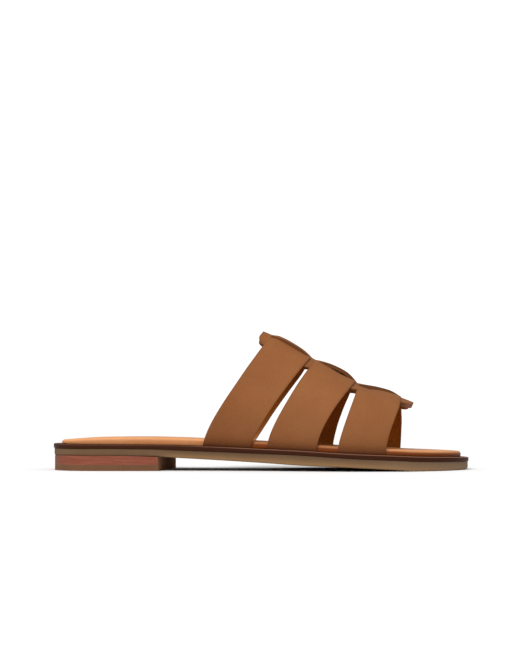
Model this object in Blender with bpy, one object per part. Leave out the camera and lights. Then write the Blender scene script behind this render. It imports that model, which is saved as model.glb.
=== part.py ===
"""A flat slide sandal for the right foot: three cross straps laced through a centre strip, on a layered sole.

The toe points along +X, the outer side of the foot faces -Y, and the floor is Z = 0. The origin is on the
floor below the middle of the sole. The sizes below are millimetres, and MM turns them into metres.
"""

import bisect
import math
from collections import namedtuple

import bmesh
import bpy
from mathutils import Vector

MM = 0.001
OBJECT_NAME = "flat_sandal"


class Table:
    """Rows of sizes by station, read smoothly between the rows by the name of a column."""

    def __init__(self, columns, rows):
        self.stations = [row[0] for row in rows]
        self.values = {name: [row[i] for row in rows] for i, name in enumerate(columns)}

    def slope(self, values, row):
        """The slope at a row, held back so that the curve never overshoots its rows."""
        secants = []
        for low in (row - 1, row):
            if 0 <= low < len(values) - 1:
                run = self.stations[low + 1] - self.stations[low]
                secants.append((values[low + 1] - values[low]) / run)
        if len(secants) == 1:
            return secants[0]
        if secants[0] * secants[1] <= 0:
            return 0.0
        return 2 * secants[0] * secants[1] / (secants[0] + secants[1])

    def at(self, column, station):
        values = self.values[column]
        station = min(max(station, self.stations[0]), self.stations[-1])
        high = max(1, bisect.bisect_left(self.stations, station))
        low = high - 1
        run = self.stations[high] - self.stations[low]
        part = (station - self.stations[low]) / run
        rest = 1 - part
        return (
            values[low] * (1 + 2 * part) * rest * rest
            + values[high] * (3 - 2 * part) * part * part
            + self.slope(values, low) * run * part * rest * rest
            - self.slope(values, high) * run * part * part * rest
        )


# Driving sizes of the sole
SOLE_LENGTH = 252.0
GAP = 0.3
HEEL_ROUND = 28.0
HEEL_FULLNESS = 2.2
TOE_ROUND = 57.0
TOE_FULLNESS = 2.4

# Plan of the welt, by the distance from the back of the heel: the middle line's place and half the width
PLAN = Table(
    ("along", "middle", "half"),
    (
        (0, 0.0, 30.5),
        (30, 0.0, 30.5),
        (60, -0.5, 30.0),
        (95, -2.0, 28.5),
        (125, -3.0, 31.5),
        (160, -2.5, 39.0),
        (185, -1.0, 43.2),
        (210, 1.5, 43.6),
        (235, 5.0, 41.5),
        (252, 8.0, 38.0),
    ),
)

# Heights of the sole's faces and the insole's thickness, by the distance from the back of the heel
PROFILE = Table(
    ("along", "tread", "sole_top", "welt_top", "insole"),
    (
        (0, 8.9, 13.0, 15.4, 2.4),
        (12, 9.0, 13.1, 15.4, 3.0),
        (30, 9.0, 13.1, 15.4, 3.7),
        (60, 8.6, 12.8, 15.2, 3.9),
        (77, 7.6, 12.2, 14.9, 3.8),
        (90, 6.9, 11.7, 14.5, 3.7),
        (128, 4.7, 10.2, 12.9, 3.5),
        (148, 3.8, 9.4, 12.0, 3.4),
        (178, 2.2, 7.5, 10.2, 3.2),
        (206, 0.7, 6.3, 9.1, 3.0),
        (216, 0.0, 5.8, 8.6, 2.9),
        (238, 0.0, 5.3, 8.0, 2.8),
        (252, 0.5, 5.0, 7.4, 2.8),
    ),
)

# How far each layer's edge is set in from the welt's
OUTSOLE_INSET = 0.5
HEEL_INSET = 0.8
INSOLE_INSET = 4.8

# Edges, thicknesses and the heel
OUTSOLE_EDGE = 0.7
WELT_EDGE = 0.4
INSOLE_EDGE = 1.6
INSOLE_EDGE_STEPS = 3
HEEL_CUP = 0.8
HEEL_CUP_LENGTH = 110.0
TOP_PIECE_THICKNESS = 3.6
TOP_PIECE_EDGE = 0.4
LIFT_EDGE = 0.2
BREAST_ALONG = 68.5
BREAST_SKEW = 0.13

# Wall of the upper
STRAP_THICKNESS = 1.7
STRIP_THICKNESS = 1.3
STRAP_EDGE = 0.4

# The form under the upper, by the place of its crest. A section leans back from its crest to a foot on each
# side, sweep bends the lean, and fullness squares the arch.
LAST = Table(
    (
        "station", "height", "ridge", "lateral_foot", "lateral_sweep",
        "medial_foot", "medial_sweep", "fullness",
    ),
    (
        (0.0, 83.2, -1.0, -45.0, 1.4, -44.0, 1.3, 2.7),
        (7.0, 80.0, -1.0, -35.0, 1.4, -34.0, 1.2, 2.7),
        (29.0, 66.8, 0.0, -6.5, 1.25, -5.8, 1.0, 2.6),
        (32.4, 64.9, 0.5, 2.9, 1.5, 16.0, 1.2, 2.6),
        (56.0, 52.2, 2.0, 32.0, 1.6, 45.2, 1.3, 2.6),
        (58.0, 50.8, 2.0, 43.9, 1.4, 60.0, 1.2, 2.6),
        (85.0, 42.4, 3.0, 71.6, 1.6, 88.0, 2.0, 2.6),
        (94.0, 38.8, 3.0, 82.0, 1.6, 97.0, 1.0, 2.6),
    ),
)

# Each strap's rear and front edge at the crest, and how far the strip bulges over it
Strap = namedtuple("Strap", ("rear", "front", "bulge"))
STRAPS = (
    Strap(7.0, 29.0, 2.6),
    Strap(32.4, 56.0, 2.7),
    Strap(58.0, 85.0, 2.7),
)

# The centre strip's reach to each side of the crest, by the place along it
STRIP = Table(
    ("station", "lateral", "medial"),
    (
        (1.0, 14.0, 12.6),
        (30.7, 16.8, 13.2),
        (57.0, 22.2, 20.4),
        (91.4, 23.2, 22.0),
    ),
)
STRIP_TOP = 0.9
REAR_CORNER = 4.0
FRONT_CORNER = 8.0
SLIT_INNER = 7.0
SLIT_OUTER = 9.0
BRIDGE_OVERHANG = 2.3
BRIDGE_SQUARENESS = 4

# How finely the shapes are divided
SOLE_STATIONS = 40
INSOLE_STATIONS = 36
HEEL_STATIONS = 16
STRAP_STATIONS = 41
MARGIN_STATIONS = 46
BRIDGE_STATIONS = 62
STRAP_ACROSS = (0.0, 0.02, 0.25, 0.5, 0.75, 0.98, 1.0)
MARGIN_ACROSS = (0.0, 0.35, 0.7, 1.0)
BRIDGE_ACROSS = (-1.0, -0.6, -0.2, 0.2, 0.6, 1.0)
STATION_NUDGE = 0.05
SWING_NUDGE = 0.005
SMOOTH_ANGLE = math.radians(35)


def clamp(value, low, high):
    return min(max(value, low), high)


# Plan and profile of the sole


def half_width(along, inset):
    """Half the width of a layer whose edge is set in from the welt's."""
    stretched = (along - inset) * SOLE_LENGTH / (SOLE_LENGTH - 2 * inset)
    heel = clamp((HEEL_ROUND - stretched) / HEEL_ROUND, 0.0, 1.0)
    toe = clamp((stretched - SOLE_LENGTH + TOE_ROUND) / TOE_ROUND, 0.0, 1.0)
    rounding = (1 - heel**HEEL_FULLNESS) ** (1 / HEEL_FULLNESS) * math.sqrt(1 - toe**TOE_FULLNESS)
    return (PLAN.at("half", stretched) - inset) * rounding


def plan_shift():
    """What brings the middle of the welt's box onto the middle line of the frame."""
    places = range(int(SOLE_LENGTH) + 1)
    lateral = min(PLAN.at("middle", along) - half_width(along, 0.0) for along in places)
    medial = max(PLAN.at("middle", along) + half_width(along, 0.0) for along in places)
    return -(lateral + medial) / 2


PLAN_SHIFT = plan_shift()


def middle_line(along):
    return PLAN.at("middle", along) + PLAN_SHIFT


def spread_stations(count, inset):
    """Distances from the heel's back that crowd towards both round ends of a layer."""
    reach = SOLE_LENGTH / 2 - inset
    for i in range(count):
        turn = math.pi * (i + 0.5) / count
        yield SOLE_LENGTH / 2 - reach * math.cos(turn)


# Building blocks


def new_material(name, colour, roughness):
    material = bpy.data.materials.new(name)
    material.use_nodes = True
    shader = material.node_tree.nodes["Principled BSDF"]
    shader.inputs["Base Color"].default_value = (*colour, 1.0)
    shader.inputs["Roughness"].default_value = roughness
    shader.inputs["Metallic"].default_value = 0.0
    return material


def slab(name, sections, collection):
    """A closed solid through sections, each an upper row and an under row with as many points."""
    mesh = bmesh.new()
    rings = []
    for upper, under in sections:
        rings.append([mesh.verts.new(point * MM) for point in upper + under[::-1]])
    size = len(rings[0])
    for near, far in zip(rings, rings[1:]):
        for i in range(size):
            j = (i + 1) % size
            mesh.faces.new((near[i], near[j], far[j], far[i]))
    for ring in (rings[0], rings[-1]):
        for i in range(size // 2 - 1):
            mesh.faces.new((ring[i], ring[i + 1], ring[size - 2 - i], ring[size - 1 - i]))
    bmesh.ops.recalc_face_normals(mesh, faces=mesh.faces)
    data = bpy.data.meshes.new(name)
    mesh.to_mesh(data)
    mesh.free()
    solid = bpy.data.objects.new(name, data)
    collection.objects.link(solid)
    return solid


def finish(solid, material, parent):
    """Gives a part its material, smooth faces and its place under the object's empty."""
    solid.data.materials.append(material)
    solid.data.shade_smooth()
    solid.data.set_sharp_from_angle(angle=SMOOTH_ANGLE)
    solid.parent = parent


# Layers of the sole


def layer_section(along, inset, low, high, low_edge, high_edge, steps=1, dish=0.0, skew=0.0):
    """One section of a layer between two heights, with eased edges and a dished top."""
    half = half_width(along, inset)
    middle = middle_line(along)
    upper = []
    under = []
    turns = [math.pi / 2 * i / steps for i in range(steps + 1)]
    ease_low = min(low_edge, half / 2)
    ease_high = min(high_edge, half / 2)
    shoulders = [(1 - math.cos(turn), 1 - math.sin(turn)) for turn in turns]
    rows = [(-1, inward, drop) for inward, drop in shoulders]
    rows += [(0, 1.0, 0.0)]
    rows += [(1, inward, drop) for inward, drop in reversed(shoulders)]
    for side, inward, drop in rows:
        across_high = side * (half - ease_high * inward)
        across_low = side * (half - ease_low * inward)
        sunk = dish * (1 - (across_high / half) ** 2)
        for row, across, height in (
            (upper, across_high, high - ease_high * drop - sunk),
            (under, across_low, low + ease_low * drop),
        ):
            y = middle + across
            row.append(Vector((along - SOLE_LENGTH / 2 + skew * y, y, height)))
    return upper, under


def build_outsole(collection):
    sections = []
    for along in spread_stations(SOLE_STATIONS, OUTSOLE_INSET):
        low = PROFILE.at("tread", along)
        high = PROFILE.at("sole_top", along)
        sections.append(layer_section(along, OUTSOLE_INSET, low, high, OUTSOLE_EDGE, WELT_EDGE))
    return slab("outsole", sections, collection)


def build_welt(collection):
    sections = []
    for along in spread_stations(SOLE_STATIONS, 0.0):
        low = PROFILE.at("sole_top", along) + GAP
        high = PROFILE.at("welt_top", along)
        sections.append(layer_section(along, 0.0, low, high, WELT_EDGE, WELT_EDGE))
    return slab("welt", sections, collection)


def build_insole(collection):
    sections = []
    for along in spread_stations(INSOLE_STATIONS, INSOLE_INSET):
        low = PROFILE.at("welt_top", along) + GAP
        high = low + PROFILE.at("insole", along)
        dish = HEEL_CUP * clamp(1 - along / HEEL_CUP_LENGTH, 0.0, 1.0)
        sections.append(
            layer_section(
                along, INSOLE_INSET, low, high, WELT_EDGE, INSOLE_EDGE, INSOLE_EDGE_STEPS, dish
            )
        )
    return slab("insole", sections, collection)


def heel_stations():
    """Distances from the back of the heel to the breast, crowded towards the round back."""
    reach = BREAST_ALONG - HEEL_INSET
    for i in range(HEEL_STATIONS):
        turn = math.pi / 2 * (i + 0.5) / (HEEL_STATIONS - 0.5)
        yield BREAST_ALONG - reach * math.cos(turn)


def build_heel_lift(collection):
    sections = []
    low = TOP_PIECE_THICKNESS + GAP
    for along in heel_stations():
        skew = BREAST_SKEW * along / BREAST_ALONG
        high = PROFILE.at("tread", along) - GAP
        sections.append(
            layer_section(along, HEEL_INSET, low, high, LIFT_EDGE, LIFT_EDGE, skew=skew)
        )
    return slab("heel_lift", sections, collection)


def build_heel_top_piece(collection):
    sections = []
    for along in heel_stations():
        skew = BREAST_SKEW * along / BREAST_ALONG
        sections.append(
            layer_section(
                along, HEEL_INSET, 0.0, TOP_PIECE_THICKNESS, TOP_PIECE_EDGE, LIFT_EDGE, skew=skew
            )
        )
    return slab("heel_top_piece", sections, collection)


# Form of the upper


def foot_point(x, sign):
    """Where the inner face of a strap meets the welt, beside the insole."""
    along = x + SOLE_LENGTH / 2
    y = middle_line(along) + sign * (half_width(along, INSOLE_INSET) + GAP)
    return Vector((x, y, PROFILE.at("welt_top", along) + GAP))


def side_of(swing):
    if swing > 0:
        return "medial", 1
    return "lateral", -1


def arch_point(station, swing):
    """A point of the form: swing is -1 at the outer foot, 0 at the crest and 1 at the inner foot."""
    side, sign = side_of(swing)
    turn = min(abs(swing), 1.0) * math.pi / 2
    power = 2 / LAST.at("fullness", station)
    rise = max(math.cos(turn), 0.0) ** power
    reach = math.sin(turn) ** power
    foot = foot_point(LAST.at(side + "_foot", station), sign)
    crest = Vector((station, LAST.at("ridge", station), LAST.at("height", station)))
    lean = rise ** LAST.at(side + "_sweep", station)
    return Vector(
        (
            foot.x + (crest.x - foot.x) * lean,
            crest.y + (foot.y - crest.y) * reach,
            foot.z + (crest.z - foot.z) * rise,
        )
    )


def wall_point(station, swing, out):
    """A point that stands off the form along its normal."""
    forward = arch_point(station + STATION_NUDGE, swing) - arch_point(station - STATION_NUDGE, swing)
    inner = arch_point(station, min(swing + SWING_NUDGE, 1.0))
    outer = arch_point(station, max(swing - SWING_NUDGE, -1.0))
    around = inner - outer
    return arch_point(station, swing) + forward.cross(around).normalized() * out


def swing_beside(station, offset):
    """The swing at which the form lies this far beside its crest, seen from above."""
    side, sign = side_of(offset)
    foot = foot_point(LAST.at(side + "_foot", station), sign)
    reach = offset / (foot.y - LAST.at("ridge", station))
    return sign * math.asin(reach ** (LAST.at("fullness", station) / 2)) * 2 / math.pi


def wall_section(stations, swings, low, high, ease=0.0):
    """Rows of a wall's outer and inner face. Its outer edges are eased at both ends of the rows."""
    last = len(stations) - 1
    upper = []
    under = []
    for i, (station, swing) in enumerate(zip(stations, swings)):
        drop = ease if i in (0, last) else 0.0
        upper.append(wall_point(station, swing, high - drop))
        under.append(wall_point(station, swing, low))
    return upper, under


def build_strap(name, strap, collection):
    """A cross strap from the outer foot over the crest to the inner foot."""
    stations = [strap.rear + (strap.front - strap.rear) * part for part in STRAP_ACROSS]
    sections = []
    for i in range(STRAP_STATIONS):
        swings = [2 * i / (STRAP_STATIONS - 1) - 1] * len(stations)
        sections.append(wall_section(stations, swings, 0.0, STRAP_THICKNESS, STRAP_EDGE))
    return slab(name, sections, collection)


def strip_stations(count):
    first = STRIP.stations[0]
    run = STRIP.stations[-1] - first
    return [first + run * i / (count - 1) for i in range(count)]


def strip_reach(station, side):
    """The strip's reach to one side, with the corners of both ends rounded."""
    cut = 0.0
    for to_end, radius in (
        (station - STRIP.stations[0], REAR_CORNER),
        (STRIP.stations[-1] - station, FRONT_CORNER),
    ):
        short = radius - min(to_end, radius)
        cut += radius - math.sqrt(radius**2 - short**2)
    return STRIP.at(side, station) - cut


def build_margin(name, sign, collection):
    """The strip outside one slit, which runs under the straps."""
    sections = []
    side, _ = side_of(sign)
    for station in strip_stations(MARGIN_STATIONS):
        outer = strip_reach(station, side)
        swings = []
        for part in MARGIN_ACROSS:
            swings.append(swing_beside(station, sign * (SLIT_INNER + (outer - SLIT_INNER) * part)))
        stations = [station] * len(swings)
        sections.append(wall_section(stations, swings, STRIP_TOP - STRIP_THICKNESS, STRIP_TOP))
    return slab(name, sections, collection)


def bridge_top(station):
    """How far the strip between the slits stands off the form: it bulges over each strap."""
    bulge = 0.0
    for strap in STRAPS:
        middle = (strap.rear + strap.front) / 2
        away = (station - middle) / ((strap.front - strap.rear) / 2 + BRIDGE_OVERHANG)
        bulge += strap.bulge * max(1 - away**BRIDGE_SQUARENESS, 0.0)
    return STRIP_TOP + bulge


def build_bridge(collection):
    """The strip between the slits, which runs over the straps."""
    sections = []
    for station in strip_stations(BRIDGE_STATIONS):
        top = bridge_top(station)
        lateral = min(SLIT_OUTER, strip_reach(station, "lateral"))
        medial = min(SLIT_OUTER, strip_reach(station, "medial"))
        swings = []
        for part in BRIDGE_ACROSS:
            swings.append(swing_beside(station, part * (medial if part > 0 else lateral)))
        stations = [station] * len(swings)
        sections.append(wall_section(stations, swings, top - STRIP_THICKNESS, top))
    return slab("strip_bridge", sections, collection)


def build_upper(collection, helpers):
    """The straps and the strip, joined where they cross."""
    pieces = []
    for i, strap in enumerate(STRAPS):
        home = collection if i == 0 else helpers
        name = "upper" if i == 0 else f"strap_{i + 1}"
        pieces.append(build_strap(name, strap, home))
    pieces.append(build_margin("strip_lateral", -1, helpers))
    pieces.append(build_margin("strip_medial", 1, helpers))
    pieces.append(build_bridge(helpers))
    upper = pieces[0]
    for piece in pieces[1:]:
        piece.hide_render = True
        piece.display_type = "WIRE"
        joint = upper.modifiers.new(f"join_{piece.name}", "BOOLEAN")
        joint.operation = "UNION"
        joint.solver = "EXACT"
        joint.object = piece
    return upper


def main():
    for old in list(bpy.data.objects):
        bpy.data.objects.remove(old, do_unlink=True)
    parts = bpy.data.collections.new(OBJECT_NAME)
    helpers = bpy.data.collections.new(OBJECT_NAME + "_helpers")
    bpy.context.scene.collection.children.link(parts)
    bpy.context.scene.collection.children.link(helpers)
    frame = bpy.data.objects.new(OBJECT_NAME, None)
    parts.objects.link(frame)

    strap_leather = new_material("strap_leather", (0.32, 0.13, 0.045), 0.62)
    insole_leather = new_material("insole_leather", (0.56, 0.20, 0.06), 0.5)
    welt_leather = new_material("welt_leather", (0.06, 0.022, 0.012), 0.5)
    lift_leather = new_material("lift_leather", (0.28, 0.085, 0.045), 0.5)
    sole_rubber = new_material("sole_rubber", (0.17, 0.1, 0.052), 0.7)

    finish(build_outsole(parts), sole_rubber, frame)
    finish(build_welt(parts), welt_leather, frame)
    finish(build_insole(parts), insole_leather, frame)
    finish(build_heel_lift(parts), lift_leather, frame)
    finish(build_heel_top_piece(parts), sole_rubber, frame)
    finish(build_upper(parts, helpers), strap_leather, frame)


main()
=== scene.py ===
"""The looks of a flat slide sandal: leather straps laced through a slit strip, on a padded and layered sole.

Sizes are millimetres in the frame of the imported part, and MM turns them into metres. The toe points along +X,
the outer side of the foot faces -Y, and the floor is Z = 0.
"""

import math
from collections import namedtuple

import bmesh
import bpy
import numpy as np
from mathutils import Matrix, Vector


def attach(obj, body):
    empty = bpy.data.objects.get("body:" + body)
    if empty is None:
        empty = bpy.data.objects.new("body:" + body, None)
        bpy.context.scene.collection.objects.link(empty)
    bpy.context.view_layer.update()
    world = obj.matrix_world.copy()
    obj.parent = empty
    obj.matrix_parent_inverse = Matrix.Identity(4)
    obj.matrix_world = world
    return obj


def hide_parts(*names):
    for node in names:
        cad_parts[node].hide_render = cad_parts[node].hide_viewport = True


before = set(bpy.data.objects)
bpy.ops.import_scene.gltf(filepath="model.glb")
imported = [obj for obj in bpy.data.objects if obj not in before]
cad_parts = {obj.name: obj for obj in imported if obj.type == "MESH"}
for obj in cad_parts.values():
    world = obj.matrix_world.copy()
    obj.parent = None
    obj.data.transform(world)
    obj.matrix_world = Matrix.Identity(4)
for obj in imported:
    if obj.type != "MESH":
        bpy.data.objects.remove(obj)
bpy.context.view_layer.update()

MM = 0.001
BODY = "root"


class Table:
    """Rows of sizes by station, read smoothly between the rows by the name of a column."""

    def __init__(self, columns, rows):
        self.stations = np.array([row[0] for row in rows], float)
        self.values = {name: np.array([row[i] for row in rows], float) for i, name in enumerate(columns)}

    def slopes(self, values):
        """The slopes at the rows, held back so that the curve never overshoots them."""
        secants = np.diff(values) / np.diff(self.stations)
        before = secants[:-1]
        after = secants[1:]
        same_way = before * after > 0
        inner = np.zeros(len(before))
        inner[same_way] = 2 * (before * after)[same_way] / (before + after)[same_way]
        return np.concatenate((secants[:1], inner, secants[-1:]))

    def at(self, column, station):
        values = self.values[column]
        slopes = self.slopes(values)
        station = np.clip(station, self.stations[0], self.stations[-1])
        low = np.clip(np.searchsorted(self.stations, station) - 1, 0, len(values) - 2)
        run = self.stations[low + 1] - self.stations[low]
        part = (station - self.stations[low]) / run
        rest = 1 - part
        return (
            values[low] * (1 + 2 * part) * rest**2
            + values[low + 1] * (3 - 2 * part) * part**2
            + slopes[low] * run * part * rest**2
            - slopes[low + 1] * run * part**2 * rest
        )


# Sizes of the sole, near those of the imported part
SOLE_LENGTH = 252.0
HEEL_ROUND = 28.0
HEEL_FULLNESS = 2.2
TOE_ROUND = 57.0
TOE_FULLNESS = 2.4
PLAN = Table(
    ("along", "middle", "half"),
    (
        (0, 0.0, 30.5),
        (30, 0.0, 30.5),
        (60, -0.5, 30.0),
        (95, -2.0, 28.5),
        (125, -3.0, 31.5),
        (160, -2.5, 39.0),
        (185, -1.0, 43.2),
        (210, 1.5, 43.6),
        (235, 5.0, 41.5),
        (252, 8.0, 38.0),
    ),
)
PROFILE = Table(
    ("along", "tread", "sole_top", "welt_top", "insole"),
    (
        (0, 8.9, 13.2, 16.0, 1.1),
        (12, 9.0, 13.1, 15.5, 2.45),
        (30, 9.0, 13.1, 15.4, 3.5),
        (60, 8.6, 12.8, 15.2, 3.9),
        (77, 7.6, 12.2, 14.9, 3.8),
        (90, 6.9, 11.7, 14.5, 3.7),
        (128, 4.7, 10.2, 12.9, 3.5),
        (148, 3.4, 9.4, 12.0, 3.4),
        (178, 2.2, 7.5, 10.2, 3.2),
        (206, 0.7, 6.3, 9.1, 3.0),
        (216, 0.0, 5.8, 8.6, 2.9),
        (238, 0.0, 5.3, 8.0, 2.8),
        (252, 0.5, 5.0, 7.4, 2.8),
    ),
)
WELT_INSET = 0.0
OUTSOLE_INSET = 0.5
HEEL_INSET = 0.8
INSOLE_INSET = 4.8
OUTSOLE_EDGE = 1.0
WELT_EDGE = 0.55
# Share of an edge's painted highlight carried onto a layer's flat top
FLAT_EDGE_MARK = 0.45
SEAM_EDGE = 0.3
INSOLE_EDGE = 1.7
PADDING = 0.35
HEEL_CUP = 0.8
HEEL_CUP_LENGTH = 110.0
HEEL_CUP_WIDTH = 22.0
TOP_PIECE_THICKNESS = 3.6
HEEL_EDGE = 0.4
BREAST_ALONG = 68.5
BREAST_SKEW = 0.13
BREAST_FACING = 0.9
TREAD_FACING = -0.9
FOOT_GAP = 0.3
SEAM = 0.03
RIB_SCALE = 130.0
RIB_HEIGHT = 0.5

# Rings of the insole: how far in from its edge, and how far above its foot or below its rim
INSOLE_CAP = (18.0, 8.0, 1.0)
INSOLE_SWELL = ((0.3, 0.15), (0.05, 0.5))
RIM_TROUGH = ((2.6, 0.03), (3.3, 0.12), (3.9, 0.2), (4.5, 0.2), (5.2, 0.13), (6.2, 0.06))
FOOTBED = (8.0, 11.0, 14.5, 18.0, 21.5)
FOOTBED_DEPTH = 0.05

# Form under the upper, its straps and its strip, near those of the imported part
STRAP_THICKNESS = 1.7
STRIP_THICKNESS = 2.8
BRIDGE_THINNING = 0.79
MARGIN_THINNING = 0.48
LAST = Table(
    (
        "station", "height", "ridge", "lateral_foot", "lateral_sweep",
        "medial_foot", "medial_sweep", "fullness",
    ),
    (
        (0.0, 83.2, -1.0, -45.0, 1.4, -44.0, 1.3, 2.7),
        (7.0, 80.0, -1.0, -35.0, 1.4, -34.0, 1.2, 2.7),
        (29.0, 66.8, 0.0, -6.5, 1.25, -5.8, 1.0, 2.6),
        (32.4, 64.9, 0.5, 2.9, 1.5, 16.0, 1.2, 2.6),
        (56.0, 52.2, 2.0, 32.0, 1.6, 45.2, 1.3, 2.6),
        (58.0, 50.8, 2.0, 43.9, 1.4, 60.0, 1.2, 2.6),
        (85.0, 42.4, 3.0, 71.6, 1.6, 88.0, 2.0, 2.6),
        (94.0, 38.8, 3.0, 82.0, 1.6, 97.0, 1.0, 2.6),
    ),
)
Strap = namedtuple("Strap", ("name", "rear", "front", "bulge", "skive", "middle_dip", "rear_dip", "rub"))
STRAPS = (
    Strap("strap_rear", 7.0, 29.0, 2.2, 0.65, 0.0, 0.0, 1.0),
    Strap("strap_middle", 32.4, 56.0, 2.8, 0.0, 0.65, 0.0, 0.0),
    Strap("strap_front", 58.0, 83.6, 2.0, 0.0, 0.0, 2.2, 0.0),
)
STRIP = Table(
    ("station", "lateral", "medial"),
    (
        (0.5, 14.0, 12.6),
        (30.7, 16.8, 13.2),
        (57.0, 22.2, 20.4),
        (91.1, 23.2, 22.0),
    ),
)
STRIP_TOP = 0.9
REAR_CORNER = 5.0
FRONT_CORNER = 8.0
END_MARGIN = 0.5
SLIT = 8.0
SLIT_OVERHANG = 0.6
BRIDGE_PEAK = 0.58
BRIDGE_SQUARENESS = 2.6
BRIDGE_SAG = 0.6
BRIDGE_CURL = 1.5
TAB_OVERHANG = 1.8
WEB_DROP = 0.45
WEB_CREST = 0.6
WEB_EASE = 3.0
SKIVED_END = 2.0
SKIVED_DEPTH = 1.1
# Length of the painted light on the cut edge of the strip's front tab
TAB_LIGHT_END = 2.6

# How the straps lie: eased edges, low under the strip, proud over its margins, tucked in at the feet
STRAP_EASE = 0.3
STRAP_EASE_WIDTH = 2.0
DIVE = 0.9
DIVE_REACH = 8.5
LIFT = 0.2
LIFT_PLACE = 12.5
LIFT_REACH = 4.0
BELLY = 0.35
BELLY_PLACE = 8.0
BELLY_REACH = 5.0
TUCK = 0.9
TUCK_REACH = 5.5
# Painted shade: how far it reaches up from the straps' feet, and how dark and wide it runs along the cut edges
FOOT_SHADE_REACHES = (1.5, 20.0)
EDGE_SHADE = 0.45
EDGE_SHADE_WIDTH = 0.7
# Painted light on the rear strap's lining: how far it reaches up from the feet
LINING_LIGHT_REACH = 6.0
SKIVE_LENGTH = 5.0
SKIVE_REACH = 20.0
DIP_LENGTH = 17.0
DIP_REACH = 28.0
DIP_UNDER_STRIP = 0.4
MIDDLE_DIP_PLACE = 18.0
MIDDLE_DIP_LENGTH = 7.0
STRAP_SINK = 0.5
CUT_EDGE = 0.28
SHARP_ANGLE = math.radians(50)

# How far the straps' cut edges run ahead of their stations, by the swing from the outer to the inner foot
REAR_EDGES = Table(
    ("swing", "strap_rear", "strap_middle", "strap_front"),
    (
        (-1.0, 0.0, 0.0, 0.0),
        (-0.75, 0.6, 0.3, 0.2),
        (-0.5, -0.2, -0.2, 0.1),
        (-0.3, -0.9, -0.5, -0.2),
        (0.0, -0.3, -0.2, -0.1),
        (1.0, 0.0, 0.0, 0.0),
    ),
)
FRONT_EDGES = Table(
    ("swing", "strap_rear", "strap_middle", "strap_front"),
    (
        (-1.0, 0.0, 0.0, 1.5),
        (-0.5, 0.0, 0.0, 1.0),
        (-0.2, 0.0, 0.0, 0.0),
        (0.0, 0.0, 0.0, 0.0),
        (0.35, 1.0, 0.55, 2.3),
        (0.6, 0.45, 0.2, 2.3),
        (0.85, -0.15, -0.3, 1.4),
        (1.0, -0.1, -0.3, 0.6),
    ),
)

# Soft creases of the straps: the place from the crest and from the rear edge, the turn, and the sizes
Crease = namedtuple("Crease", ("strap", "along", "across", "turn", "length", "width", "depth"))
CREASES = (
    Crease("strap_rear", -30.0, 9.0, 62.0, 16.0, 2.6, 0.16),
    Crease("strap_rear", -52.0, 13.0, 78.0, 13.0, 3.2, -0.14),
    Crease("strap_rear", 34.0, 11.0, 65.0, 15.0, 2.8, 0.15),
    Crease("strap_middle", -24.0, 14.0, 70.0, 15.0, 2.8, 0.15),
    Crease("strap_middle", -42.0, 9.0, 80.0, 13.0, 3.4, -0.14),
    Crease("strap_middle", 28.0, 12.0, 72.0, 15.0, 3.0, 0.15),
    Crease("strap_front", -22.0, 12.0, 80.0, 16.0, 3.0, 0.14),
    Crease("strap_front", 30.0, 14.0, 75.0, 15.0, 3.0, 0.14),
)

# How finely the shapes are divided
RING_POINTS = 400
HEEL_POINTS = 90
STRAP_ACROSS = 44
STRAP_AROUND = 300
STRIP_ALONG = 280
END_CROWDING = 0.35
MARGIN_COLUMNS = 14
BRIDGE_COLUMNS = 26
EDGE_STEPS = 4
EDGE_SEGMENTS = 3
CAP_SPREADS = (24.0, 14.0, 6.0, 1.6)
STATION_NUDGE = 0.05
SWING_NUDGE = 0.005
WELD_DISTANCE = 0.001

# Leather's patches, flecks and grain, and the spread of noise about its middle
LEATHER_PATCH = 22.0
LEATHER_FLECK = 0.8
FLECK_SHARE = 0.4
GRAIN_CREASES = (0.45, 0.75)
GRAIN_DARKNESS = 0.3
PORE_SHARE = 0.45
PEBBLE_SWELL = 1.6
ROUGH_PATCH = 3.0
ROUGH_CHANGE = 0.06
NOISE_SPREAD = 0.2
NARROW_SPREAD = 0.15

# Places in a piece's list of materials
LINING = 1
CUT = 2
# Slot of the heel's eased edges, which carry a painted highlight
HEEL_EDGE_HIGHLIGHT = 1
HEEL_BREAST = 2
AS_BESIDE = -1

# Camera, light and floor
PHOTO_WIDTH = 528
FOCAL_PIXELS = 1561.6
SENSOR_WIDTH = 36.0
CAMERA_PLACE = (1.15, -950.0, 32.0)
CAMERA_TILT = math.radians(2.97)
SKY_START = -0.3
SKY_LOW = 0.45
SKY_HIGH = 0.85
BACKDROP = 1.1
LAMP_FROM = (-0.35, -1.0, 1.0)
LAMP_POWER = 2.0
LAMP_SPREAD = math.radians(40)
FLOOR_SIZE = 30000.0
FLOOR_WHITES = (0.9108, 0.92)
FLOOR_PATCH = 40.0


# Form of the sole and of the upper


def half_width(along, inset):
    """Half the width of a layer whose edge is set in from the welt's."""
    stretched = (along - inset) * SOLE_LENGTH / (SOLE_LENGTH - 2 * inset)
    heel = np.clip((HEEL_ROUND - stretched) / HEEL_ROUND, 0.0, 1.0)
    toe = np.clip((stretched - SOLE_LENGTH + TOE_ROUND) / TOE_ROUND, 0.0, 1.0)
    rounding = (1 - heel**HEEL_FULLNESS) ** (1 / HEEL_FULLNESS) * np.sqrt(1 - toe**TOE_FULLNESS)
    return (PLAN.at("half", stretched) - inset) * rounding


def plan_shift():
    """What brings the middle of the welt's box onto the middle line of the frame."""
    along = np.arange(SOLE_LENGTH + 1)
    middle = PLAN.at("middle", along)
    half = half_width(along, 0.0)
    return -(np.min(middle - half) + np.max(middle + half)) / 2


PLAN_SHIFT = plan_shift()


def middle_line(along):
    return PLAN.at("middle", along) + PLAN_SHIFT


def side_values(column, station, medial):
    return np.where(medial, LAST.at("medial_" + column, station), LAST.at("lateral_" + column, station))


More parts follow.
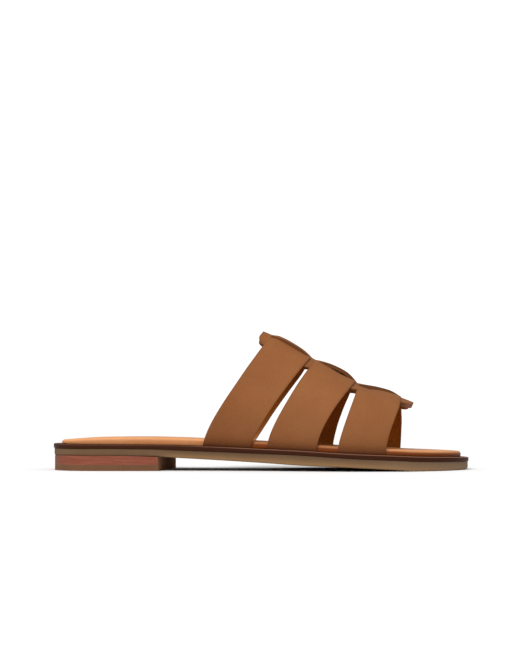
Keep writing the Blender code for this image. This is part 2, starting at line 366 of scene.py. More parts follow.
def foot_points(station, medial):
    """Where the inner face of a strap meets the welt, beside the insole."""
    x = side_values("foot", station, medial)
    along = x + SOLE_LENGTH / 2
    sign = np.where(medial, 1.0, -1.0)
    y = middle_line(along) + sign * (half_width(along, INSOLE_INSET) + FOOT_GAP)
    return x, y, PROFILE.at("welt_top", along) + FOOT_GAP


def arch_points(station, swing):
    """Points of the form: swing is -1 at the outer foot, 0 at the crest and 1 at the inner foot."""
    station, swing = np.broadcast_arrays(np.asarray(station, float), np.asarray(swing, float))
    medial = swing > 0
    turn = np.minimum(np.abs(swing), 1.0) * math.pi / 2
    power = 2 / LAST.at("fullness", station)
    rise = np.maximum(np.cos(turn), 0.0) ** power
    reach = np.sin(turn) ** power
    x, y, z = foot_points(station, medial)
    ridge = LAST.at("ridge", station)
    lean = rise ** side_values("sweep", station, medial)
    return np.stack(
        (
            x + (station - x) * lean,
            ridge + (y - ridge) * reach,
            z + (LAST.at("height", station) - z) * rise,
        ),
        -1,
    )


def wall_points(station, swing, out):
    """Points that stand off the form along its normal."""
    forward = arch_points(station + STATION_NUDGE, swing) - arch_points(station - STATION_NUDGE, swing)
    inner = arch_points(station, np.minimum(swing + SWING_NUDGE, 1.0))
    outer = arch_points(station, np.maximum(swing - SWING_NUDGE, -1.0))
    normal = np.cross(forward, inner - outer)
    normal /= np.linalg.norm(normal, axis=-1, keepdims=True)
    return arch_points(station, swing) + normal * np.asarray(out)[..., None]


def swing_beside(station, offset):
    """The swing at which the form lies this far beside its crest, seen from above."""
    _, y, _ = foot_points(station, offset > 0)
    reach = np.clip(offset / (y - LAST.at("ridge", station)), 0.0, 1.0)
    turn = np.arcsin(reach ** (LAST.at("fullness", station) / 2))
    return np.where(offset > 0, 1.0, -1.0) * turn * 2 / math.pi


def smooth_step(value):
    part = np.clip(value, 0.0, 1.0)
    return part * part * (3 - 2 * part)


# Meshes


def add_piece(name, points, faces, materials, node, marks=None):
    """A smooth mesh that rides on the shoe and stands for a node. marks are values of its points."""
    mesh = bpy.data.meshes.new(name)
    mesh.from_pydata((np.reshape(points, (-1, 3)) * MM).tolist(), [], faces)
    for material in materials:
        mesh.materials.append(material)
    mesh.shade_smooth()
    for mark, values in (marks or {}).items():
        mesh.attributes.new(mark, "FLOAT", "POINT").data.foreach_set("value", np.ravel(values))
    piece = bpy.data.objects.new(name, mesh)
    bpy.context.scene.collection.objects.link(piece)
    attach(piece, BODY)
    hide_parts(node)
    return piece


def turn_faces_out(piece):
    mesh = bmesh.new()
    mesh.from_mesh(piece.data)
    bmesh.ops.recalc_face_normals(mesh, faces=mesh.faces)
    mesh.to_mesh(piece.data)
    mesh.free()


def weld_points(piece):
    """Joins points that lie on each other."""
    mesh = bmesh.new()
    mesh.from_mesh(piece.data)
    bmesh.ops.remove_doubles(mesh, verts=mesh.verts, dist=WELD_DISTANCE * MM)
    mesh.to_mesh(piece.data)
    mesh.free()


def grid_faces(rows, columns):
    """Quads of a grid of points, numbered row by row."""
    row, column = np.meshgrid(np.arange(rows - 1), np.arange(columns - 1), indexing="ij")
    corner = row * columns + column
    return np.stack((corner, corner + columns, corner + columns + 1, corner + 1), -1).reshape(-1, 4).tolist()


def add_leather_thickness(piece, thickness, group=""):
    """Thickens an outer face inwards to leather with a lined back. group names its shares by point."""
    shell = piece.modifiers.new("thickness", "SOLIDIFY")
    shell.thickness = thickness * MM
    shell.offset = -1.0
    shell.use_even_offset = True
    shell.vertex_group = group
    shell.material_offset = LINING
    shell.material_offset_rim = CUT


def add_eased_edges(piece, width, material=AS_BESIDE):
    ease = piece.modifiers.new("eased_edges", "BEVEL")
    ease.material = material
    ease.width = width * MM
    ease.segments = EDGE_SEGMENTS
    ease.limit_method = "ANGLE"
    ease.angle_limit = SHARP_ANGLE
    ease.harden_normals = True


def keep_crisp_edges(piece):
    """Makes what the modifiers give the mesh itself, shaded smooth up to its cut edges."""
    plain = piece.data
    mesh = bpy.data.meshes.new_from_object(piece.evaluated_get(bpy.context.evaluated_depsgraph_get()))
    mesh.set_sharp_from_angle(angle=SHARP_ANGLE)
    piece.modifiers.clear()
    piece.data = mesh
    bpy.data.meshes.remove(plain)
    mesh.name = piece.name


# Layers of the sole

Row = namedtuple("Row", ("inset", "heights", "wear"))


def ring(inset, heights):
    """A closed ring around a layer's plan. heights gives Z by the distance from the heel's back."""
    turn = 2 * math.pi * (np.arange(RING_POINTS) + 0.5) / RING_POINTS
    along = SOLE_LENGTH / 2 - (SOLE_LENGTH / 2 - inset) * np.cos(turn)
    y = middle_line(along) + np.sign(np.sin(turn)) * half_width(along, inset)
    return np.stack((along - SOLE_LENGTH / 2, y, heights(along)), -1)


def ring_faces(rings, count):
    """Quads between rings, and strips across the first and the last one."""
    faces = []
    for low in range(rings - 1):
        for i in range(count):
            j = (i + 1) % count
            start = low * count
            faces.append((start + i, start + j, start + count + j, start + count + i))
    for start in (0, (rings - 1) * count):
        for i in range(count // 2 - 1):
            faces.append((start + i, start + i + 1, start + count - 2 - i, start + count - 1 - i))
    return faces


def quarter_round(steps):
    """Steps of a rounded edge: how far it has come in, and how far it still is below the face."""
    turns = np.linspace(0.0, math.pi / 2, steps + 1)
    return [(1 - math.cos(turn), 1 - math.sin(turn)) for turn in turns]


def paint_tread(piece):
    """Gives the faces that look down the last material of the piece."""
    for face in piece.data.polygons:
        if face.normal.z < TREAD_FACING:
            face.material_index = len(piece.data.materials) - 1


def add_layer(name, rows, materials):
    """A layer through rings, from its underside to its top."""
    rings = [ring(row.inset, row.heights) for row in rows]
    faces = ring_faces(len(rings), RING_POINTS)
    # how far each ring lies on an edge or side, for painted shade and highlights
    marks = {"wear": np.repeat([row.wear for row in rows], RING_POINTS)}
    piece = add_piece(name + "_finished", rings, faces, materials, name, marks)
    turn_faces_out(piece)
    return piece


def raised(heights, by):
    return lambda along: heights(along) + by


def layer_rows(inset, low, high, low_edge, high_edge, low_edge_mark, high_edge_mark):
    """Rings of a plain layer between two heights, with rounded edges whose rings carry the mark for painted
    shade and highlights.
    """
    rows = [Row(inset + spread, low, low_edge_mark) for spread in CAP_SPREADS]
    for inward, rest in reversed(quarter_round(EDGE_STEPS)):
        rows.append(Row(inset + low_edge * inward, raised(low, low_edge * rest), low_edge_mark))
    for inward, rest in quarter_round(EDGE_STEPS):
        rows.append(Row(inset + high_edge * inward, raised(high, -high_edge * rest), high_edge_mark * (1 - rest)))
    rows += [Row(inset + spread, high, FLAT_EDGE_MARK * high_edge_mark) for spread in reversed(CAP_SPREADS)]
    return rows


# Heights of the sole's layers, by the distance from the heel's back


def heel_tread(along):
    return np.zeros_like(along)


def top_piece_top(along):
    return np.full_like(along, TOP_PIECE_THICKNESS)


def lift_foot(along):
    return top_piece_top(along) + SEAM


def lift_top(along):
    return tread(along) - SEAM


def tread(along):
    return PROFILE.at("tread", along)


def sole_top(along):
    return PROFILE.at("sole_top", along)


def welt_foot(along):
    return sole_top(along) + SEAM


def welt_top(along):
    return PROFILE.at("welt_top", along)


def insole_foot(along):
    return welt_top(along) + SEAM


def insole_heights(inward, down):
    """Heights of the insole's top face, this far in from its edge and below its rim."""

    def heights(along):
        cup = HEEL_CUP * np.clip(1 - along / HEEL_CUP_LENGTH, 0.0, 1.0)
        dish = cup * (1 - (1 - min(inward / HEEL_CUP_WIDTH, 1.0)) ** 2)
        return welt_top(along) + FOOT_GAP + PROFILE.at("insole", along) + PADDING - dish - down

    return heights


# Pieces of the sole


def add_outsole(materials):
    rows = layer_rows(OUTSOLE_INSET, tread, sole_top, OUTSOLE_EDGE, SEAM_EDGE, low_edge_mark=1.0, high_edge_mark=0.0)
    paint_tread(add_layer("outsole", rows, materials))


def add_welt(material):
    rows = layer_rows(WELT_INSET, welt_foot, welt_top, SEAM_EDGE, WELT_EDGE, low_edge_mark=0.0, high_edge_mark=1.0)
    add_layer("welt", rows, [material])


def add_insole(material):
    """A padded footbed with a swollen side, a rolled rim and a shallow trough inside the rim."""
    rows = [Row(INSOLE_INSET + inward, insole_foot, 1.0) for inward in INSOLE_CAP]
    for inward, up in INSOLE_SWELL:
        rows.append(Row(INSOLE_INSET + inward, raised(insole_foot, up), 1.0))
    for inward, rest in quarter_round(2 * EDGE_STEPS):
        rows.append(Row(INSOLE_INSET + INSOLE_EDGE * inward, insole_heights(0.0, INSOLE_EDGE * rest), rest))
    for inward, down in RIM_TROUGH:
        rows.append(Row(INSOLE_INSET + inward, insole_heights(inward, down), 0.0))
    for inward in FOOTBED:
        rows.append(Row(INSOLE_INSET + inward, insole_heights(inward, FOOTBED_DEPTH), 0.0))
    piece = add_layer("insole", rows, [material])


def add_heel_layer(name, low, high, materials):
    """A layer of the heel, round at the back and cut straight across at its breast, with eased edges that carry
    a painted highlight.
    """
    turn = math.pi / 2 * (np.arange(HEEL_POINTS) + 0.5) / (HEEL_POINTS - 0.5)
    along = BREAST_ALONG - (BREAST_ALONG - HEEL_INSET) * np.cos(turn)
    half = half_width(along, HEEL_INSET)
    along = np.concatenate((along, along[::-1]))
    y = middle_line(along) + np.concatenate((half, -half[::-1]))
    x = along - SOLE_LENGTH / 2 + BREAST_SKEW * along / BREAST_ALONG * y
    rings = [np.stack((x, y, heights(along)), -1) for heights in (low, high)]
    faces = ring_faces(2, 2 * HEEL_POINTS)
    piece = add_piece(name + "_finished", rings, faces, materials, name)
    turn_faces_out(piece)
    for face in piece.data.polygons:
        if face.normal.x > BREAST_FACING:
            face.material_index = HEEL_BREAST
    paint_tread(piece)
    add_eased_edges(piece, HEEL_EDGE, HEEL_EDGE_HIGHLIGHT)


# Upper

Lie = namedtuple("Lie", ("along", "to_foot", "from_rear", "to_edge", "beside"))
Panel = namedtuple("Panel", ("offset", "out", "to_edge", "thinning"))


def crease_depths(name, along, across):
    """How far the creases of a strap sink its face, by the place from the crest and from the rear edge."""
    depth = np.zeros_like(along)
    for crease in CREASES:
        if crease.strap == name:
            turn = math.radians(crease.turn)
            ahead = along - crease.along
            aside = across - crease.across
            lengthwise = (ahead * math.cos(turn) + aside * math.sin(turn)) / crease.length
            crosswise = (aside * math.cos(turn) - ahead * math.sin(turn)) / crease.width
            depth += crease.depth * np.exp(-(lengthwise**2) - crosswise**2)
    return depth


def painted_edge_shade(to_edge):
    """How much painted shade the leather takes, by the distance to its cut edge."""
    return EDGE_SHADE * np.exp(-to_edge / EDGE_SHADE_WIDTH)


def running_length(points, axis):
    """The way along rows of points, from the first one on."""
    steps = np.linalg.norm(np.diff(points, axis=axis), axis=-1)
    start = np.zeros_like(np.take(steps, [0], axis))
    return np.concatenate((start, np.cumsum(steps, axis=axis)), axis=axis)


def strap_lie(station, swing):
    """Distances of a strap's points from the crest, the feet, the edges and the middle of the strip."""
    plain = arch_points(station, swing)
    from_foot = running_length(plain, 1)
    from_rear = running_length(plain, 0)
    crest = STRAP_AROUND // 2
    return Lie(
        along=from_foot - from_foot[:, crest:crest + 1],
        to_foot=np.minimum(from_foot, from_foot[:, -1:] - from_foot),
        from_rear=from_rear,
        to_edge=np.minimum(from_rear, from_rear[-1] - from_rear),
        beside=np.abs(plain[..., 1] - LAST.at("ridge", station)),
    )


def strap_dips(strap, lie):
    """How far a strap is skived over the rear tab, or dips beside the strip in its middle or at its rear."""
    over_tab = smooth_step((SKIVE_REACH - lie.beside) / (SKIVE_REACH - SLIT))
    by_strip = smooth_step((DIP_REACH - lie.beside) / (DIP_REACH - SLIT))
    by_slit = smooth_step(lie.beside / SLIT)
    under_strip = DIP_UNDER_STRIP + (1 - DIP_UNDER_STRIP) * by_slit
    from_middle = (lie.from_rear - MIDDLE_DIP_PLACE) / MIDDLE_DIP_LENGTH
    return (
        strap.skive * over_tab * (1 - smooth_step(lie.from_rear / SKIVE_LENGTH))
        + strap.middle_dip * by_strip * by_slit * np.exp(-(from_middle**2))
        + strap.rear_dip * by_strip * under_strip * (1 - smooth_step(lie.from_rear / DIP_LENGTH))
    )


def strap_out(strap, lie):
    """How far a strap's outer face stands off the form."""
    out = np.full(lie.along.shape, STRAP_THICKNESS)
    out -= STRAP_EASE * (1 - smooth_step(lie.to_edge / STRAP_EASE_WIDTH)) ** 2
    out -= DIVE * (1 - smooth_step((lie.beside - SLIT / 2) / (DIVE_REACH - SLIT / 2)))
    out += LIFT * np.exp(-(((lie.beside - LIFT_PLACE) / LIFT_REACH) ** 2))
    out += BELLY * np.exp(-(((lie.to_foot - BELLY_PLACE) / BELLY_REACH) ** 2))
    out -= TUCK * (1 - smooth_step(lie.to_foot / TUCK_REACH))
    return out - strap_dips(strap, lie) - crease_depths(strap.name, lie.along, lie.from_rear)


def strap_marks(strap, lie):
    """Values of a strap's points: painted shade at the feet and edges, and painted light on the lining at the
    feet.
    """
    dark_feet = np.mean([np.exp(-lie.to_foot / reach) for reach in FOOT_SHADE_REACHES], axis=0)
    clear_of_strip = smooth_step((lie.beside - SLIT) / (SKIVE_REACH - SLIT))
    return {
        # painted shade at the feet, and along the cut edges clear of the strip
        "painted_shade": np.maximum(dark_feet, painted_edge_shade(lie.to_edge) * clear_of_strip),
        # painted light on the lining at the feet
        "painted_light": strap.rub * np.exp(-lie.to_foot / LINING_LIGHT_REACH),
        "painted_tab_light": np.zeros_like(lie.along),
    }


def add_strap(strap, materials):
    """A cross strap that lies over the strip's margins and dives under the strip between its slits."""
    across = np.linspace(0.0, 1.0, STRAP_ACROSS)[:, None]
    swing = np.linspace(-1.0, 1.0, STRAP_AROUND)[None, :]
    rear = strap.rear + REAR_EDGES.at(strap.name, swing)
    front = strap.front + FRONT_EDGES.at(strap.name, swing)
    station = rear + (front - rear) * across
    swing = np.broadcast_to(swing, station.shape)
    lie = strap_lie(station, swing)
    points = wall_points(station, swing, strap_out(strap, lie))
    feet = points[:, [0, -1]] - np.array((0.0, 0.0, STRAP_SINK))
    points = np.concatenate((feet[:, :1], points, feet[:, 1:]), axis=1)
    marks = {}
    for name, values in strap_marks(strap, lie).items():
        marks[name] = np.pad(values, ((0, 0), (1, 1)), mode="edge")
    faces = grid_faces(*points.shape[:2])
    piece = add_piece(strap.name, points, faces, materials, "upper", marks)
    add_leather_thickness(piece, STRAP_THICKNESS)
    add_eased_edges(piece, CUT_EDGE)


def strip_reach(station, side):
    """The strip's reach to one side, with the corners of both ends rounded."""
    cut = np.zeros_like(station)
    for to_end, radius in (
        (station - STRIP.stations[0], REAR_CORNER),
        (STRIP.stations[-1] - station, FRONT_CORNER),
    ):
        short = radius - np.clip(to_end, 0.0, radius)
        cut += radius - np.sqrt(radius**2 - short**2)
    return np.maximum(STRIP.at(side, station) - cut, SLIT + END_MARGIN)


def bridge_rise(station, across):
    """How far the strip between the slits rises over each strap: a bulge whose edges curl up."""
    rise = np.zeros(np.broadcast_shapes(station.shape, np.shape(across)))
    for strap in STRAPS:
        peak = strap.rear + BRIDGE_PEAK * (strap.front - strap.rear)
        overhang = TAB_OVERHANG if strap is STRAPS[0] else SLIT_OVERHANG
        behind = (peak - station) / (peak - strap.rear + overhang)
        ahead = (station - peak) / (strap.front + SLIT_OVERHANG - peak)
        arch = np.maximum(1 - np.maximum(behind, ahead) ** BRIDGE_SQUARENESS, 0.0)
        rise = rise + arch * (strap.bulge - BRIDGE_SAG + BRIDGE_CURL * across**2)
    return rise


def from_tabs(station):
    """How far a station lies from the tabs at the strip's rear and front ends."""
    return station - (STRAPS[0].rear - SLIT_OVERHANG), STRAPS[-1].front + SLIT_OVERHANG - station


def on_tab(station):
    from_rear, from_front = from_tabs(station)
    return (from_rear < 0) | (from_front < 0)


def between_tabs(station):
    """1 along the straps, eased to 0 on the tabs."""
    from_rear, from_front = from_tabs(station)
    return smooth_step(from_rear / WEB_EASE) * smooth_step(from_front / WEB_EASE)


def strip_base(station):
    """How far the plain strip stands off the form: low between the straps, and skived at its rear end."""
    skive = SKIVED_DEPTH * np.clip(1 - (station - STRIP.stations[0]) / SKIVED_END, 0.0, 1.0)
    return STRIP_TOP - WEB_DROP * between_tabs(station) - skive


def strip_stations():
    """Places along the strip, crowded at its round ends."""
    first = STRIP.stations[0]
    last = STRIP.stations[-1]
    even = np.linspace(0.0, 1.0, STRIP_ALONG)
    crowded = (1 - np.cos(math.pi * even)) / 2
    return first + (last - first) * (END_CROWDING * crowded + (1 - END_CROWDING) * even)


def strip_bridge(station, to_end):
    """The part of the strip between its slits."""
    across = np.linspace(-1.0, 1.0, BRIDGE_COLUMNS)[None, :]
    crest = STRIP_TOP + WEB_CREST * between_tabs(station)
    out = crest + (strip_base(station) - crest) * across**2 + bridge_rise(station, across)
    over_strap = bridge_rise(station, 1.0) > 0
    to_edge = np.where(over_strap, SLIT * (1 - np.abs(across)), to_end)
    return Panel(SLIT * across, out, to_edge, BRIDGE_THINNING)


def strip_margin(station, side):
    """The part of the strip outside its slits, on one side."""
    from_slit = np.linspace(0.0, 1.0, MARGIN_COLUMNS)[None, :]
    sign = 1.0
    if side == "lateral":
        from_slit = from_slit[:, ::-1]
        sign = -1.0
    width = strip_reach(station, side) - SLIT
    tab_rise = np.where(on_tab(station), bridge_rise(station, 1.0), 0.0)
    out = strip_base(station) + tab_rise * (1 - smooth_step(2 * from_slit))
    return Panel(sign * (SLIT + width * from_slit), out, width * (1 - from_slit), MARGIN_THINNING)


def add_strip(materials):
    """The lengthwise strip: one sheet with a slit on each side of every strap's middle."""
    station = strip_stations()[:, None]
    to_front = STRIP.stations[-1] - station
    to_end = np.minimum(station - STRIP.stations[0], to_front)
    # painted light on the cut edge of the front tab
    painted_tab_light = 1 - smooth_step(to_front / TAB_LIGHT_END - 1)
    tab_thinning = np.where(station > STRAPS[-1].front, 1.0, BRIDGE_THINNING)
    points = np.empty((0, 3))
    faces = []
    values = {"painted_shade": [], "painted_tab_light": [], "thinning": []}
    for panel in (
        strip_margin(station, "lateral"),
        strip_bridge(station, to_end),
        strip_margin(station, "medial"),
    ):
        place, offset, out = np.broadcast_arrays(station, panel.offset, panel.out)
        faces += (np.array(grid_faces(*place.shape)) + len(points)).tolist()
        points = np.concatenate((points, wall_points(place, swing_beside(place, offset), out).reshape(-1, 3)))
        for name, value in (
            # painted shade along the strip's edges and slits
            ("painted_shade", painted_edge_shade(np.minimum(panel.to_edge, to_end))),
            ("painted_tab_light", painted_tab_light),
            ("thinning", np.where(on_tab(station), tab_thinning, panel.thinning)),
        ):
            values[name].append(np.broadcast_to(value, place.shape).ravel())
    marks = {name: np.concatenate(values[name]) for name in ("painted_shade", "painted_tab_light")}
    piece = add_piece("centre_strip", points, faces, materials, "upper", marks)
    group = piece.vertex_groups.new(name="thickness")
    for i, share in enumerate(np.concatenate(values["thinning"])):
        group.add([i], share, "REPLACE")
    weld_points(piece)
    add_leather_thickness(piece, STRIP_THICKNESS, group.name)
    keep_crisp_edges(piece)


# Materials


def colour(red, green, blue):
    """A colour for a shader from sRGB values up to 255."""
    parts = []
    for value in (red / 255, green / 255, blue / 255):
        parts.append(value / 12.92 if value <= 0.04045 else ((value + 0.055) / 1.055) ** 2.4)
    return (*parts, 1.0)


class Surface:
    """A material with short calls for the nodes that give it its pattern. Sizes are millimetres."""

    def __init__(self, name, roughness, gloss):
        self.material = bpy.data.materials.new(name)
        self.material.use_nodes = True
        self.tree = self.material.node_tree
        self.shader = self.tree.nodes["Principled BSDF"]
        self.shader.inputs["Roughness"].default_value = roughness
        self.shader.inputs["Specular IOR Level"].default_value = gloss
        self.place = self.node("ShaderNodeTexCoord").outputs["Object"]

    def node(self, kind, inputs=None, **settings):
        made = self.tree.nodes.new(kind)
        for name, value in settings.items():
            setattr(made, name, value)
        for name, value in (inputs or {}).items():
            self.feed(made.inputs[name], value)
        return made

    def feed(self, socket, value):
        if isinstance(value, bpy.types.NodeSocket):
            self.tree.links.new(value, socket)
        else:
            socket.default_value = value

    def set(self, name, value):
        self.feed(self.shader.inputs[name], value)

    def noise(self, size, detail=3.0, place=None):
        """Noise whose patches are about this size."""
        inputs = {"Vector": place or self.place, "Scale": 1 / (size * MM), "Detail": detail}
        return self.node("ShaderNodeTexNoise", inputs).outputs[0]

    def patches(self, size, low, high, spread=NOISE_SPREAD):
        """Noise that runs from low to high. A smaller spread gives it sharper patches."""
        return self.ranged(self.noise(size), 0.5 - spread, 0.5 + spread, low, high)

    def streaks(self, size, squeeze, detail=3.0):
        """Noise of this height, drawn out level."""
        inputs = {"Vector": self.place, "Scale": (squeeze, squeeze, 1.0)}
        return self.noise(size, detail, self.node("ShaderNodeMapping", inputs).outputs[0])

    def cells(self, size):
        inputs = {"Vector": self.place, "Scale": 1 / (size * MM)}
        return self.node("ShaderNodeTexVoronoi", inputs, feature="SMOOTH_F1").outputs["Distance"]

    def ranged(self, value, low, high, to_low, to_high):
        inputs = {"Value": value, "From Min": low, "From Max": high, "To Min": to_low, "To Max": to_high}
        return self.node("ShaderNodeMapRange", inputs).outputs[0]

    def fade(self, first, last, low, high):
        """A value that goes from low to high between two places along the shoe."""
        along = self.node("ShaderNodeSeparateXYZ", {"Vector": self.place}).outputs["X"]
        return self.ranged(along, first * MM, last * MM, low, high)

    def mix(self, factor, first, second):
        made = self.node("ShaderNodeMix", data_type="RGBA")
        for index, value in ((0, factor), (6, first), (7, second)):
            self.feed(made.inputs[index], value)
        return made.outputs[2]

    def add(self, first, second, weight):
        inputs = {0: second, 1: weight, 2: first}
        return self.node("ShaderNodeMath", inputs, operation="MULTIPLY_ADD").outputs[0]

    def times(self, first, second):
        return self.node("ShaderNodeMath", {0: first, 1: second}, operation="MULTIPLY").outputs[0]

    def mark(self, name):
        """The values of a mesh's points by this name."""
        return self.node("ShaderNodeAttribute", attribute_name=name).outputs["Fac"]

    def bump(self, height, depth):
        """Relief of about this depth."""
        inputs = {"Height": height, "Distance": depth * MM, "Strength": 1.0}
        self.set("Normal", self.node("ShaderNodeBump", inputs).outputs[0])


def leather(name, pale, dark, roughness, gloss, grain, relief):
    """Leather with broad tones, fine flecks and a pebbled grain, and its tone for further mixing."""
    surface = Surface(name, roughness, gloss)
    broad = surface.patches(LEATHER_PATCH, 0.0, 1 - FLECK_SHARE)
    flecks = surface.patches(LEATHER_FLECK, 0.0, 1.0)
    pebbles = surface.cells(grain)
    creases = surface.ranged(pebbles, *GRAIN_CREASES, 0.0, GRAIN_DARKNESS)
    plain = surface.mix(surface.add(broad, flecks, FLECK_SHARE), dark, pale)
    tone = surface.mix(creases, plain, dark)
    surface.set("Base Color", tone)
    pores = surface.noise(grain * PORE_SHARE, 2.0)
    surface.bump(surface.add(pores, pebbles, -PEBBLE_SWELL), relief)
    rough_patches = surface.patches(ROUGH_PATCH, roughness - ROUGH_CHANGE, roughness + ROUGH_CHANGE)
    surface.set("Roughness", rough_patches)
    return surface, tone


def strap_leather():
    """Brushed tan leather, paler towards the toe, with painted shade at the straps' feet and along the cut
    edges.
    """
    tan = colour(137, 85, 45)
    shade = colour(119, 72, 36)
    toe_tan = colour(155, 102, 60)
    red_tan = colour(136, 76, 44)
    painted_shade_colour = colour(66, 30, 6)
    surface, tone = leather("strap_leather", tan, shade, roughness=0.66, gloss=0.12, grain=0.9, relief=0.09)
    tone = surface.mix(surface.fade(-30.0, 30.0, 0.0, 0.4), tone, toe_tan)
    tone = surface.mix(surface.patches(13.0, 0.0, 0.3, NARROW_SPREAD), tone, red_tan)
    # painted shade at the feet and along the cut edges
    surface.set("Base Color", surface.mix(surface.mark("painted_shade"), tone, painted_shade_colour))
    return surface.material


def lining_leather():
    """Napped leather, with painted light at the feet of the rear strap."""
    tan = colour(154, 87, 27)
    shade = colour(137, 72, 18)
    painted_light_tan = colour(240, 178, 112)
    surface, tone = leather("lining_leather", tan, shade, roughness=0.7, gloss=0.08, grain=0.6, relief=0.03)
    # painted light on the lining near the feet
    surface.set("Base Color", surface.mix(surface.mark("painted_light"), tone, painted_light_tan))
    return surface.material


def cut_edge():
    """The raw edge of two plies of leather, with painted light on the strip's front tab."""
    surface = Surface("cut_edge", roughness=0.75, gloss=0.15)
    fibres = surface.noise(0.5, 4.0)
    plain = surface.mix(fibres, colour(84, 49, 24), colour(112, 70, 38))
    # painted light: the front tab's cut edge drawn paler as if lit
    painted_tab_light = surface.mix(fibres, colour(104, 65, 50), colour(140, 95, 80))
    surface.set("Base Color", surface.mix(surface.mark("painted_tab_light"), plain, painted_tab_light))
    surface.bump(fibres, 0.08)
    return surface.material


def insole_leather():
    """Satin leather, with painted shade under the straps and deeper painted shade low on its side ahead of the
    heel.
    """
    tan = colour(231, 165, 112)
    shade = colour(211, 143, 90)
    painted_strap_shade = colour(150, 88, 38)
    painted_side_shade = colour(112, 50, 8)
    surface, tone = leather("insole_leather", tan, shade, roughness=0.5, gloss=0.15, grain=0.7, relief=0.06)
    past_heel = surface.fade(-45.0, -10.0, 0.35, 0.95)
    past_first = surface.fade(-30.0, -5.0, 0.0, 0.75)
    to_last = surface.fade(45.0, 70.0, 1.0, 0.0)
    # painted shade where the straps cover the insole
    tone = surface.mix(surface.times(past_first, to_last), tone, painted_strap_shade)
    side = surface.mark("wear")
    # painted shade low on the side ahead of the heel
    surface.set("Base Color", surface.mix(surface.times(side, past_heel), tone, painted_side_shade))
    surface.set("Coat Weight", surface.ranged(side, 0.0, 1.0, 0.25, 0.0))
    surface.set("Coat Roughness", 0.35)
    return surface.material


def welt_leather():
    """Dark polished leather, with a painted highlight along its rounded top edge ahead of the heel."""
    highlight_brown = colour(136, 96, 76)
    surface = Surface("welt_leather", roughness=0.5, gloss=0.06)
    streaks = surface.streaks(1.2, 0.12)
    plain = surface.mix(streaks, colour(47, 21, 8), colour(59, 29, 14))
    # painted highlight along the rounded top edge
    painted_highlight = surface.times(surface.mark("wear"), surface.fade(-50.0, -10.0, 0.3, 1.0))
    surface.set("Base Color", surface.mix(painted_highlight, plain, highlight_brown))
    surface.bump(streaks, 0.04)
    return surface.material


def lift_leather():
    """Stacked leather on edge: thin lengthwise streaks, darker at the back."""
    dark_back = colour(84, 44, 32)
    surface = Surface("lift_leather", roughness=0.55, gloss=0.15)
    streaks = surface.streaks(0.9, 0.06, 4.0)
    broad = surface.ranged(streaks, 0.5 - NOISE_SPREAD, 0.5 + NOISE_SPREAD, 0.0, 0.8)
    plain = surface.mix(surface.add(broad, surface.noise(1.6), 0.2), colour(108, 54, 38), colour(140, 78, 57))
    surface.set("Base Color", surface.mix(surface.fade(-124.0, -115.0, 0.5, 0.0), plain, dark_back))
    surface.bump(streaks, 0.05)
    return surface.material


def painted_edge_highlight():
    """Paler eased edges: a painted highlight."""
    surface = Surface("painted_edge_highlight", roughness=0.6, gloss=0.15)
    highlight_patches = surface.noise(2.5, 4.0)
    surface.set("Base Color", surface.mix(highlight_patches, colour(140, 96, 76), colour(170, 128, 108)))
    return surface.material


def heel_breast():
    """The breast, one plain brown face over both layers."""
    surface = Surface("heel_breast", roughness=0.7, gloss=0.0)
    streaks = surface.streaks(1.0, 0.1)
    surface.set("Base Color", surface.mix(streaks, colour(130, 92, 66), colour(152, 112, 84)))
    surface.bump(streaks, 0.04)
    return surface.material


def sole_rubber(name, dark, pale):
    """Dusty rubber. Ahead of the heel it has painted shade below the welt and a painted highlight along its
    lower rim.
    """
    shade = colour(74, 53, 39)
    painted_rim_highlight = colour(137, 104, 68)
    toe_grey = colour(126, 103, 83)
    surface = Surface(name, roughness=0.72, gloss=0.15)
    tone = surface.add(surface.patches(14.0, 0.0, 0.6), surface.streaks(1.0, 0.1), 0.4)
    plain = surface.mix(tone, dark, pale)
    past_heel = surface.fade(-62.0, -50.0, 0.0, 0.8)
    rim = surface.mark("wear")
    # painted shade below the welt
    high = surface.ranged(rim, 0.0, 0.7, 0.5, 0.0)
    with_painted_shade = surface.mix(surface.times(high, past_heel), plain, shade)
    # painted highlight along the lower rim
    painted_light = surface.mix(surface.times(surface.times(rim, rim), past_heel), with_painted_shade, painted_rim_highlight)
    surface.set("Base Color", surface.mix(surface.fade(50.0, 120.0, 0.0, 0.6), painted_light, toe_grey))
    surface.bump(surface.noise(0.5), 0.03)
    return surface.material


def ribbed_tread():
    """The underside: fine ribs across the sole, greyed by dust."""
    dust = colour(112, 90, 70)
    surface = Surface("ribbed_tread", roughness=0.8, gloss=0.15)
    inputs = {"Vector": surface.place, "Scale": RIB_SCALE, "Distortion": 0.4, "Detail": 1.0}
    ribs = surface.node("ShaderNodeTexWave", inputs, bands_direction="X").outputs["Fac"]
    tone = surface.mix(ribs, colour(74, 54, 37), colour(104, 79, 56))
    surface.set("Base Color", surface.mix(surface.patches(25.0, 0.0, 0.4, NARROW_SPREAD), tone, dust))
    surface.bump(ribs, RIB_HEIGHT)
    return surface.material


# Stage


def add_camera():
    data = bpy.data.cameras.new("camera")
    data.sensor_fit = "HORIZONTAL"
    data.sensor_width = SENSOR_WIDTH
    data.lens = FOCAL_PIXELS * SENSOR_WIDTH / PHOTO_WIDTH
    camera = bpy.data.objects.new("camera", data)
    camera.location = [value * MM for value in CAMERA_PLACE]
    camera.rotation_euler = (math.pi / 2 + CAMERA_TILT, 0.0, 0.0)
    bpy.context.scene.collection.objects.link(camera)
    bpy.context.scene.camera = camera
    bpy.context.scene.view_settings.view_transform = "Standard"


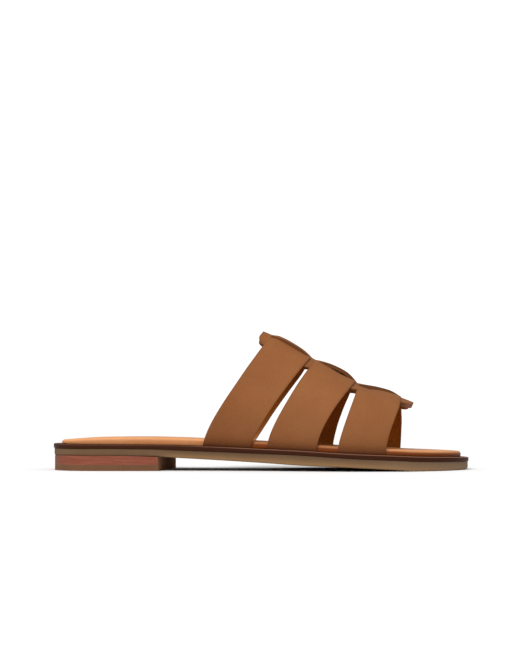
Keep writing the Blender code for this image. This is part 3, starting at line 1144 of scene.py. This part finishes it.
def add_sky():
    """A soft white surround, brighter on the lamp's side and plain white behind the shoe."""
    world = bpy.data.worlds.new("sky")
    world.use_nodes = True
    nodes = world.node_tree.nodes
    links = world.node_tree.links
    facing = nodes.new("ShaderNodeVectorMath")
    facing.operation = "DOT_PRODUCT"
    facing.inputs[1].default_value = Vector(LAMP_FROM).normalized()
    links.new(nodes.new("ShaderNodeTexCoord").outputs["Generated"], facing.inputs[0])
    rise = nodes.new("ShaderNodeMapRange")
    rise.inputs["From Min"].default_value = SKY_START
    rise.inputs["To Min"].default_value = SKY_LOW
    rise.inputs["To Max"].default_value = SKY_HIGH
    links.new(facing.outputs["Value"], rise.inputs["Value"])
    strength = nodes.new("ShaderNodeMix")
    links.new(nodes.new("ShaderNodeLightPath").outputs["Is Camera Ray"], strength.inputs[0])
    links.new(rise.outputs[0], strength.inputs[2])
    strength.inputs[3].default_value = BACKDROP
    sky = nodes["Background"]
    sky.inputs["Color"].default_value = (1.0, 1.0, 1.0, 1.0)
    links.new(strength.outputs[0], sky.inputs["Strength"])
    bpy.context.scene.world = world


def add_lamp():
    data = bpy.data.lights.new("lamp", "SUN")
    data.energy = LAMP_POWER
    data.angle = LAMP_SPREAD
    lamp = bpy.data.objects.new("lamp", data)
    lamp.rotation_euler = Vector(LAMP_FROM).to_track_quat("Z", "Y").to_euler()
    bpy.context.scene.collection.objects.link(lamp)


def add_floor():
    surface = Surface("floor", roughness=0.9, gloss=0.0)
    tones = [(white, white, white, 1.0) for white in FLOOR_WHITES]
    surface.set("Base Color", surface.mix(surface.noise(FLOOR_PATCH), *tones))
    half = FLOOR_SIZE / 2 * MM
    corners = [(-half, -half, 0), (half, -half, 0), (half, half, 0), (-half, half, 0)]
    mesh = bpy.data.meshes.new("floor")
    mesh.from_pydata(corners, [], [(0, 1, 2, 3)])
    mesh.materials.append(surface.material)
    floor = bpy.data.objects.new("floor", mesh)
    bpy.context.scene.collection.objects.link(floor)


def main():
    add_camera()
    add_sky()
    add_lamp()
    add_floor()
    rubber = sole_rubber("sole_rubber", colour(91, 67, 45), colour(106, 81, 57))
    top_rubber = sole_rubber("top_piece_rubber", colour(95, 64, 43), colour(110, 76, 52))
    tread_rubber = ribbed_tread()
    heel_finish = [painted_edge_highlight(), heel_breast(), tread_rubber]
    add_heel_layer("heel_top_piece", heel_tread, top_piece_top, [top_rubber] + heel_finish)
    add_heel_layer("heel_lift", lift_foot, lift_top, [lift_leather()] + heel_finish)
    add_outsole([rubber, tread_rubber])
    add_welt(welt_leather())
    add_insole(insole_leather())
    upper_materials = [strap_leather(), lining_leather(), cut_edge()]
    for strap in STRAPS:
        add_strap(strap, upper_materials)
    add_strip(upper_materials)


main()
